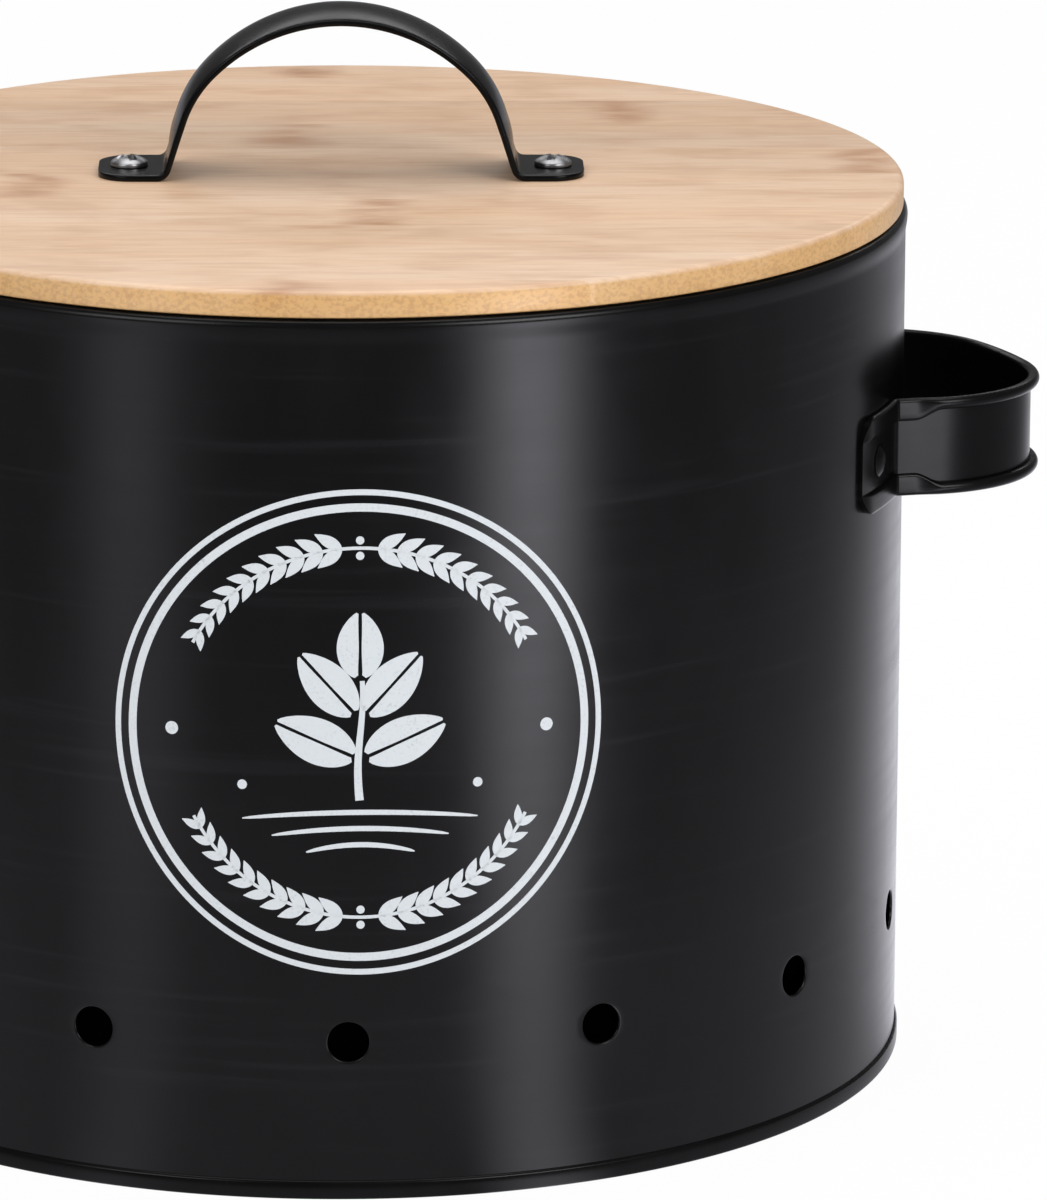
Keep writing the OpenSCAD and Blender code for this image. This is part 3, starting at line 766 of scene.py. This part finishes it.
def strap_section(crown, half_w):
    """Section of the strap as (outward, y) points, with rounded long edges."""

    def rise(y):
        return crown * (math.sqrt(CROWN_R**2 - y**2) - (CROWN_R - STRAP_CROWN))

    flat_w = half_w - STRAP_EDGE_R
    top = [(STRAP_T + rise(y), y) for y in span(flat_w, -flat_w, CROWN_STEPS)]
    low = [(rise(y), y) for y in span(-flat_w, flat_w, CROWN_STEPS)]
    side = []
    for a in span(0, 180, 6)[1:-1]:
        c, s = polar(1, a)
        side.append((rise(flat_w) + STRAP_T / 2 * (1 + c), -flat_w - STRAP_EDGE_R * s))
    return top + side + low + [(o, -y) for o, y in reversed(side)]


def right_stations():
    """(x, z, angle of the outward face, crown, half width) from the crest to the right foot's end."""
    half = STRAP_W / 2
    stations = []
    for a in span(90, 90 - ARCH_TOP_TURN, 34):
        stations.append((*polar(ARCH_TOP_R - STRAP_DEPTH, a, ARCH_TOP_AT), a, 1.0, half))
    for a in span(90 - ARCH_TOP_TURN, ARCH_LEAN, 18)[1:-1]:
        stations.append((*polar(ARCH_SHOULDER_R - STRAP_DEPTH, a, SHOULDER_AT), a, 1.0, half))
    for t in span(0, 1, 18)[:-1]:
        at = ARCH_LEG + t * ARCH_LEG_L * ARCH_DIR
        stations.append((at.x, at.y, ARCH_LEAN, 1 - smooth(t) ** 2, half))
    for a in span(ARCH_LEAN, 90, 14):
        stations.append((*polar(-STRAP_T - ARCH_BEND_R, a, ARCH_BEND), a, 0.0, half))
    for turn in span(0, 90, 12):
        across, along = polar(STRAP_CORNER_R, turn)
        place = STRAP_END_X - STRAP_CORNER_R + along
        stations.append((place, LID_TOP_Z, 90, 0.0, half - STRAP_CORNER_R + across))
    return stations


def lid_strap():
    """The arched strap with its two feet, from the right half and its mirror image."""
    right = right_stations()
    left = [(-x, z, 180 - a, c, w) for x, z, a, c, w in reversed(right[1:])]
    rings = []
    for x, z, a, crown, half_w in left + right:
        c, s = polar(1, a)
        rings.append([(x + o * c, y, z + o * s) for o, y in strap_section(crown, half_w)])
    build = Build()
    build.capped_loft(rings)
    replaced = ["lid_handle"]
    make_piece("lid_strap", build.points, build.faces, strap_coat, "lid", replaced, sharp=60)


RECESS_ARM_W = 0.75
RECESS_ARM_L = 2.7
RECESS_DEPTH = 1.5
RECESS_RAMP = 0.16
# Share of its depth that the recess loses towards the end of an arm
RECESS_RISE = 0.35
SCREW_STEPS = 120
SCREW_RINGS = 34
HEAD_EDGE = 0.12
HEAD_ROUND = 0.15
POINT_R = 0.05


def screw(name, node, x0, turn):
    """Pan head with a cross recess, over a plain shank."""
    low = LID_TOP_Z + STRAP_T
    dome_h = SCREW_HEAD_H - SCREW_FACE_H
    dome_r = (SCREW_HEAD_R**2 + dome_h**2) / (2 * dome_h)

    def top(u, v):
        """Height of the domed head with the cross sunk in it."""
        r = math.hypot(u, v)
        z = SCREW_FACE_H + math.sqrt(dome_r**2 - r * r) - (dome_r - dome_h)
        along = max(abs(u) - RECESS_ARM_L, abs(v) - RECESS_ARM_W)
        across = max(abs(u) - RECESS_ARM_W, abs(v) - RECESS_ARM_L)
        fall = smooth(0.5 - min(along, across) / RECESS_RAMP) * (1 - RECESS_RISE * smooth(r / RECESS_ARM_L))
        return z - RECESS_DEPTH * fall

    c, s = polar(1, turn)
    rings = []
    for r in span(0, SCREW_HEAD_R - HEAD_EDGE, SCREW_RINGS)[1:]:
        ring = [polar(r, 360 * k / SCREW_STEPS) for k in range(SCREW_STEPS)]
        rings.append([(x0 + u * c - v * s, u * s + v * c, low + top(u, v)) for u, v in ring])
    side = [(SCREW_HEAD_R, SCREW_FACE_H - 1.5 * HEAD_EDGE), (SCREW_HEAD_R, HEAD_ROUND)]
    side += [(SCREW_HEAD_R - HEAD_ROUND, 0.0), (SCREW_SHANK_R, 0.0)]
    side += [(SCREW_SHANK_R, SCREW_POINT_L - SCREW_SHANK_L), (POINT_R, -SCREW_SHANK_L)]
    for r, z in side:
        ring = [polar(r, turn + 360 * k / SCREW_STEPS) for k in range(SCREW_STEPS)]
        rings.append([(x0 + u, v, low + z) for u, v in ring])
    build = Build()
    centre = build.ring([(x0, 0, low + top(0, 0))])
    made = build.loft(rings)
    for k in range(SCREW_STEPS):
        build.faces.append([centre[0], made[0][k], made[0][(k + 1) % SCREW_STEPS]])
    build.faces.append(list(reversed(made[-1])))
    make_piece(name, build.points, build.faces, screw_steel, "lid", [node])


lid_strap()
screw("pan_screw_left", "lid_screw_left", -SCREW_X, 20)
screw("pan_screw_right", "lid_screw_right", SCREW_X, -12)

# Printed badge

BADGE_Z = 98.7
BADGE_TURN = 1.75
# Radius and half width of each ring
BADGE_RINGS = [(50.15, 0.6), (47.0, 0.85)]
RING_STEPS = 240
# Heights of the ink's two faces over the wall. The lower one lies a little inside it.
INK_TOP = 0.07
INK_LOW = -0.02

GARLAND_R = 38.6
GARLANDS = ((152, 28), (208, 332))
GARLAND_HALF_W = 0.34
LEAVES = 10
LEAF_FROM = 5.4
LEAF_STEP = 5.8
LEAF_SHRINK = 0.035
LEAF_LEAN = 34
LEAF_L = 6.3
LEAF_W = 2.5
DOT_R = 0.85
DOT_OUT = 1.6
SIDE_DOT_R = 1.35

STEM_LOW = -14
STEM_HIGH = 11
STEM_HALF_W = 0.85
STEM_THINNING = 0.012
MIDRIB_HALF_W = 0.3
# Length and width of the top leaf, and the height of its base
TOP_LEAF = (14, 9.5)
TOP_LEAF_V = 11.5
# Height of its base, rise over the level, length and width of each pair of side leaves
SIDE_LEAVES = ((4, 48, 17, 9), (-5, 24, 18, 9.5))
SIDE_LEAF_U = 1.0
GROUND_DOT_AT = (24, -11)
GROUND_DOT_R = 1.0
# Drop and half length of each furrow
FURROWS = ((0, 24), (3.4, 18), (6.8, 11))
FURROW_V = -16.5
FURROW_BOW = 1.6


def on_wall(u, v, height):
    """A point of the badge's plane, u to the right and v up from its middle, laid round the wall."""
    x, y = polar(WALL_R + height, -90 + BADGE_TURN + math.degrees(u / WALL_R))
    return x, y, BADGE_Z + v


def ribbon(build, path, half_widths, closed=False):
    """A printed band along a path of (u, v) points, as a closed shell on the wall."""
    count = len(path)
    rings = []
    for k, (u, v) in enumerate(path):
        before = path[k - 1] if closed or k else path[0]
        after = path[(k + 1) % count] if closed or k < count - 1 else path[-1]
        du, dv = after[0] - before[0], after[1] - before[1]
        length = math.hypot(du, dv)
        out = (-dv / length, du / length)
        line = [(u + out[0] * w, v + out[1] * w) for w in span(-half_widths[k], half_widths[k], 2)]
        top = [on_wall(a, b, INK_TOP) for a, b in line]
        rings.append(top + [on_wall(a, b, INK_LOW) for a, b in reversed(line)])
    if closed:
        made = build.loft(rings)
        build.bridge(made[-1], made[0])
    else:
        build.capped_loft(rings)


def dot(build, centre, radius):
    """A round dot, as a short ribbon as wide as the circle."""
    reach = span(-0.99, 0.99, 14)
    path = [(centre[0] + radius * t, centre[1]) for t in reach]
    ribbon(build, path, [radius * math.sqrt(1 - t * t) for t in reach])


def small_leaf(build, base, angle, length, width):
    """A slim pointed leaf of the garlands."""
    along = span(0, 1, 12)
    path = [polar(length * t, angle, base) for t in along]
    ribbon(build, path, [max(0.05, width / 2 * math.sin(math.pi * t**0.8) ** 0.9) for t in along])


def round_leaf(build, base, angle, length, width):
    """A broad leaf in two halves, with its midrib left open between them."""
    c, s = polar(1, angle)
    along = span(0.03, 0.97, 30)
    for side in (-1, 1):
        path, half_widths = [], []
        for t in along:
            reach = width / 2 * math.sin(math.pi * t**0.86) ** 0.72
            middle = side * (reach + MIDRIB_HALF_W) / 2
            path.append((base[0] + length * t * c - middle * s, base[1] + length * t * s + middle * c))
            half_widths.append(max((reach - MIDRIB_HALF_W) / 2, 0.06))
        ribbon(build, path, half_widths)


def badge_piece(name, build):
    make_piece(name, build.points, build.faces, print_ink, "bin", sharp=60)


def badge_rings():
    build = Build()
    for radius, half_width in BADGE_RINGS:
        path = [polar(radius, 360 * k / RING_STEPS) for k in range(RING_STEPS)]
        ribbon(build, path, [half_width] * RING_STEPS, closed=True)
    badge_piece("print_rings", build)


def badge_garlands():
    """Two leafy sprays that follow the rings, above and below, with a dot at each side between them."""
    build = Build()
    for start, end in GARLANDS:
        stem = [polar(GARLAND_R, a) for a in span(start, end, 70)]
        ribbon(build, stem, [GARLAND_HALF_W] * len(stem))
        middle = (start + end) / 2
        for side in (-1, 1):
            for k in range(LEAVES):
                a = middle + side * (LEAF_FROM + k * LEAF_STEP)
                grow = 1 - LEAF_SHRINK * k
                for lean in (LEAF_LEAN, -LEAF_LEAN):
                    heading = a + side * 90 + lean
                    small_leaf(build, polar(GARLAND_R, a), heading, LEAF_L * grow, LEAF_W * grow)
        for out in (-DOT_OUT, DOT_OUT):
            dot(build, polar(GARLAND_R + out, middle), DOT_R)
    for a in (180, 0):
        dot(build, polar(GARLAND_R, a), SIDE_DOT_R)
    badge_piece("print_garlands", build)


def badge_seedling():
    """A seedling with rounded leaves over three furrows."""
    build = Build()
    stem = [(0.5 * math.sin(v / 5), v) for v in span(STEM_LOW, STEM_HIGH, 30)]
    ribbon(build, stem, [STEM_HALF_W - STEM_THINNING * k for k in range(len(stem))])
    round_leaf(build, (0, TOP_LEAF_V), 90, *TOP_LEAF)
    for side in (-1, 1):
        for height, rise, length, width in SIDE_LEAVES:
            root = (side * SIDE_LEAF_U, height)
            round_leaf(build, root, 90 - side * (90 - rise), length, width)
        dot(build, (side * GROUND_DOT_AT[0], GROUND_DOT_AT[1]), GROUND_DOT_R)
    for drop, reach in FURROWS:
        line = [(reach * t, FURROW_V - drop - FURROW_BOW * t * t) for t in span(-1, 1, 30)]
        ribbon(build, line, [0.12 + 0.42 * math.sqrt(1 - t * t) for t in span(-1, 1, 30)])
    badge_piece("print_seedling", build)


badge_rings()
badge_garlands()
badge_seedling()

# Stage, lights and camera

FLOOR_REACH = 9.0
FLOOR_GREY = (0.86, 0.86, 0.86)
FLOOR_PALE = (0.90, 0.90, 0.90)
FLOOR_WHITE = 0.96
WORLD_SOFT = 0.50
WORLD_MIRRORED = 0.14
LAMP_AIM = (0, 0, 0.1)

# Painted reflections: a glow on the floor that only glossy rays see, painted as two soft strips and bright
# sides to the rear.
# Places of the strips and of the rear glow are azimuths on the wall from its front, reaches on the floor are
# in metres, and a strength of 1 is white.
PAINTED_REFLECTION_TINT = (0.93, 0.925, 1.0, 1)
STRIP_LEFT_AT = 21.5
STRIP_LEFT = 1.7
STRIP_RIGHT_AT = 19.1
STRIP_RIGHT = 8.3
STRIP_SPREAD = 8.0
STRIP_DIM = 0.35
REAR_FROM = 60.0
REAR_TO = 80.0
REAR_GLOW = 0.85
REAR_NEAR = 0.45
REAR_FAR = 0.95
REAR_DIM = 0.15
FRONT_NEAR = 0.72
FRONT_FAR = 0.36
NEAR_REACH = 0.15
FAR_REACH = 0.75
SIDE_BLEND = 0.02
MIRROR_ROUNDS = 3

CAMERA_AT = (0.0, -1.8143, 0.5626)
CAMERA_PITCH = 14.431
CAMERA_YAW = -1.234
CAMERA_ROLL = 0.216
LENS = 261.1
SENSOR_W = 36


def share_of_rays(tree, kinds, amount):
    """The amount for rays of these kinds and nothing for others."""
    path = tree.nodes.new("ShaderNodeLightPath")
    seen = path.outputs[kinds[0]]
    for kind in kinds[1:]:
        either = tree.nodes.new("ShaderNodeMath")
        either.operation = "MAXIMUM"
        tree.links.new(seen, either.inputs[0])
        tree.links.new(path.outputs[kind], either.inputs[1])
        seen = either.outputs[0]
    share = tree.nodes.new("ShaderNodeMath")
    share.operation = "MULTIPLY"
    share.inputs[1].default_value = amount
    tree.links.new(seen, share.inputs[0])
    return share.outputs[0]


def mix_shaders(tree, share, first, second):
    """The first shader where the share is 0 and the second where it is 1."""
    mix = tree.nodes.new("ShaderNodeMixShader")
    tree.links.new(share, mix.inputs[0])
    tree.links.new(first, mix.inputs[1])
    tree.links.new(second, mix.inputs[2])
    return mix.outputs[0]


def painted_floor_reflections(n):
    """Painted reflections: a glow on the floor for glossy rays only, which the shiny wall mirrors as two soft
    strips and bright sides to the rear.
    """
    split = n.add("ShaderNodeSeparateXYZ")
    n.link(n.coords, split.inputs[0])
    x, y = split.outputs["X"], split.outputs["Y"]
    reach = n.math("SQRT", n.math("ADD", n.math("MULTIPLY", x, x), n.math("MULTIPLY", y, y)))
    turn = n.math("ARCTAN2", n.math("ABSOLUTE", x), n.math("MULTIPLY", y, -1.0))
    # The wall's own azimuth from the front that mirrors this place, found in a few rounds
    azimuth = n.math("MULTIPLY", turn, 0.5)
    for _ in range(MIRROR_ROUNDS):
        aside = n.math("DIVIDE", n.math("MULTIPLY", n.math("SINE", azimuth), WALL_R * MM), reach)
        azimuth = n.math("MULTIPLY", n.math("ADD", turn, aside), 0.5)
    left_at, right_at = math.radians(STRIP_LEFT_AT), math.radians(STRIP_RIGHT_AT)
    strip_at = n.ramp(x, -SIDE_BLEND, SIDE_BLEND, left_at, right_at)
    off_strip = n.math("ABSOLUTE", n.math("SUBTRACT", azimuth, strip_at))
    strip = n.ramp(off_strip, 0.0, math.radians(STRIP_SPREAD), 1.0, 0.0)
    strip = n.math("MULTIPLY", strip, n.ramp(x, -SIDE_BLEND, SIDE_BLEND, STRIP_LEFT, STRIP_RIGHT))
    strip = n.math("MULTIPLY", strip, n.ramp(reach, NEAR_REACH, FAR_REACH, STRIP_DIM, 1.0))
    rear = n.ramp(azimuth, math.radians(REAR_FROM), math.radians(REAR_TO), 0.0, REAR_GLOW)
    rear = n.math("MULTIPLY", rear, n.ramp(reach, REAR_NEAR, REAR_FAR, 1.0, REAR_DIM))
    front = n.ramp(reach, NEAR_REACH, FAR_REACH, FRONT_NEAR, FRONT_FAR)
    return n.math("ADD", n.math("ADD", strip, rear), front)


def make_floor():
    """A pale floor that looks white to the camera and still takes the shadow."""
    mesh = bpy.data.meshes.new("floor")
    reach = FLOOR_REACH
    corners = [(-reach, -reach, 0), (reach, -reach, 0), (reach, reach, 0), (-reach, reach, 0)]
    mesh.from_pydata(corners, [], [(0, 1, 2, 3)])
    floor = bpy.data.objects.new("floor", mesh)
    bpy.context.scene.collection.objects.link(floor)
    n = Nodes("pale_floor")
    tint = n.noise(n.place((3, 3, 3)), detail=2.0)
    n.finish(n.mix(tint, FLOOR_GREY, FLOOR_PALE), 0.8, n.bump(tint, 0.01, 0.0001))
    white = n.add("ShaderNodeEmission")
    share = share_of_rays(n.tree, ["Is Camera Ray", "Is Transmission Ray"], FLOOR_WHITE)
    shown = mix_shaders(n.tree, share, n.bsdf.outputs[0], white.outputs[0])
    # Painted reflections: for glossy rays only, the floor glows with the strips, the rear glow and a front
    # level
    painted_reflection = n.add("ShaderNodeEmission")
    painted_reflection.inputs["Color"].default_value = PAINTED_REFLECTION_TINT
    n.link(painted_floor_reflections(n), painted_reflection.inputs["Strength"])
    glossy = share_of_rays(n.tree, ["Is Glossy Ray"], 1.0)
    n.link(mix_shaders(n.tree, glossy, shown, painted_reflection.outputs[0]), n.out.inputs["Surface"])
    mesh.materials.append(n.material)


def background(tree, strength):
    """A white world of one strength."""
    node = tree.nodes.new("ShaderNodeBackground")
    node.inputs["Color"].default_value = (1, 1, 1, 1)
    node.inputs["Strength"].default_value = strength
    return node.outputs[0]


def make_world():
    """Soft even light, plain white for the camera, and a dimmer studio for shiny surfaces."""
    world = bpy.data.worlds.new("studio")
    bpy.context.scene.world = world
    world.use_nodes = True
    tree = world.node_tree
    tree.nodes.clear()
    out = tree.nodes.new("ShaderNodeOutputWorld")
    seen = share_of_rays(tree, ["Is Camera Ray", "Is Transmission Ray"], 1.0)
    glossy = share_of_rays(tree, ["Is Glossy Ray"], 1.0)
    lit = mix_shaders(tree, glossy, background(tree, WORLD_SOFT), background(tree, WORLD_MIRRORED))
    tree.links.new(mix_shaders(tree, seen, lit, background(tree, 1.0)), out.inputs[0])


def softbox(name, azimuth, elevation, distance, width, height, power):
    """A rectangular lamp at an azimuth to the right of the front, aimed at the bin."""
    a, e = math.radians(azimuth), math.radians(elevation)
    away = Vector((math.sin(a) * math.cos(e), -math.cos(a) * math.cos(e), math.sin(e)))
    lamp = bpy.data.lights.new(name, "AREA")
    lamp.shape = "RECTANGLE"
    lamp.size, lamp.size_y, lamp.energy = width, height, power
    box = bpy.data.objects.new(name, lamp)
    box.location = Vector(LAMP_AIM) + distance * away
    box.rotation_euler = away.to_track_quat("Z", "Y").to_euler()
    bpy.context.scene.collection.objects.link(box)


def make_camera():
    """The photograph's own viewpoint, from the ellipses of the lid and the base."""
    pitch, yaw, roll = (math.radians(a) for a in (CAMERA_PITCH, CAMERA_YAW, CAMERA_ROLL))
    ahead = Vector((-math.sin(yaw), math.cos(yaw), 0))
    right = Vector((math.cos(yaw), math.sin(yaw), 0))
    look = math.cos(pitch) * ahead - Vector((0, 0, math.sin(pitch)))
    up = math.sin(pitch) * ahead + Vector((0, 0, math.cos(pitch)))
    x_axis = math.cos(roll) * right + math.sin(roll) * up
    y_axis = math.cos(roll) * up - math.sin(roll) * right
    data = bpy.data.cameras.new("camera")
    data.sensor_width = SENSOR_W
    data.lens = LENS
    data.clip_end = 50
    camera = bpy.data.objects.new("camera", data)
    rows = [[x_axis[k], y_axis[k], -look[k], CAMERA_AT[k]] for k in range(3)]
    camera.matrix_world = Matrix(rows + [[0, 0, 0, 1]])
    bpy.context.scene.collection.objects.link(camera)
    bpy.context.scene.camera = camera


make_floor()
make_world()
softbox("overhead", azimuth=180, elevation=84, distance=1.3, width=1.1, height=0.9, power=8)
softbox("rear_strip", azimuth=180, elevation=33, distance=1.6, width=1.8, height=0.16, power=3)
softbox("right_front", azimuth=39, elevation=34, distance=1.5, width=0.6, height=0.6, power=8.5)
softbox("left_front", azimuth=-42, elevation=34, distance=1.5, width=0.6, height=0.6, power=4.5)
make_camera()
bpy.context.scene.view_settings.view_transform = "Standard"
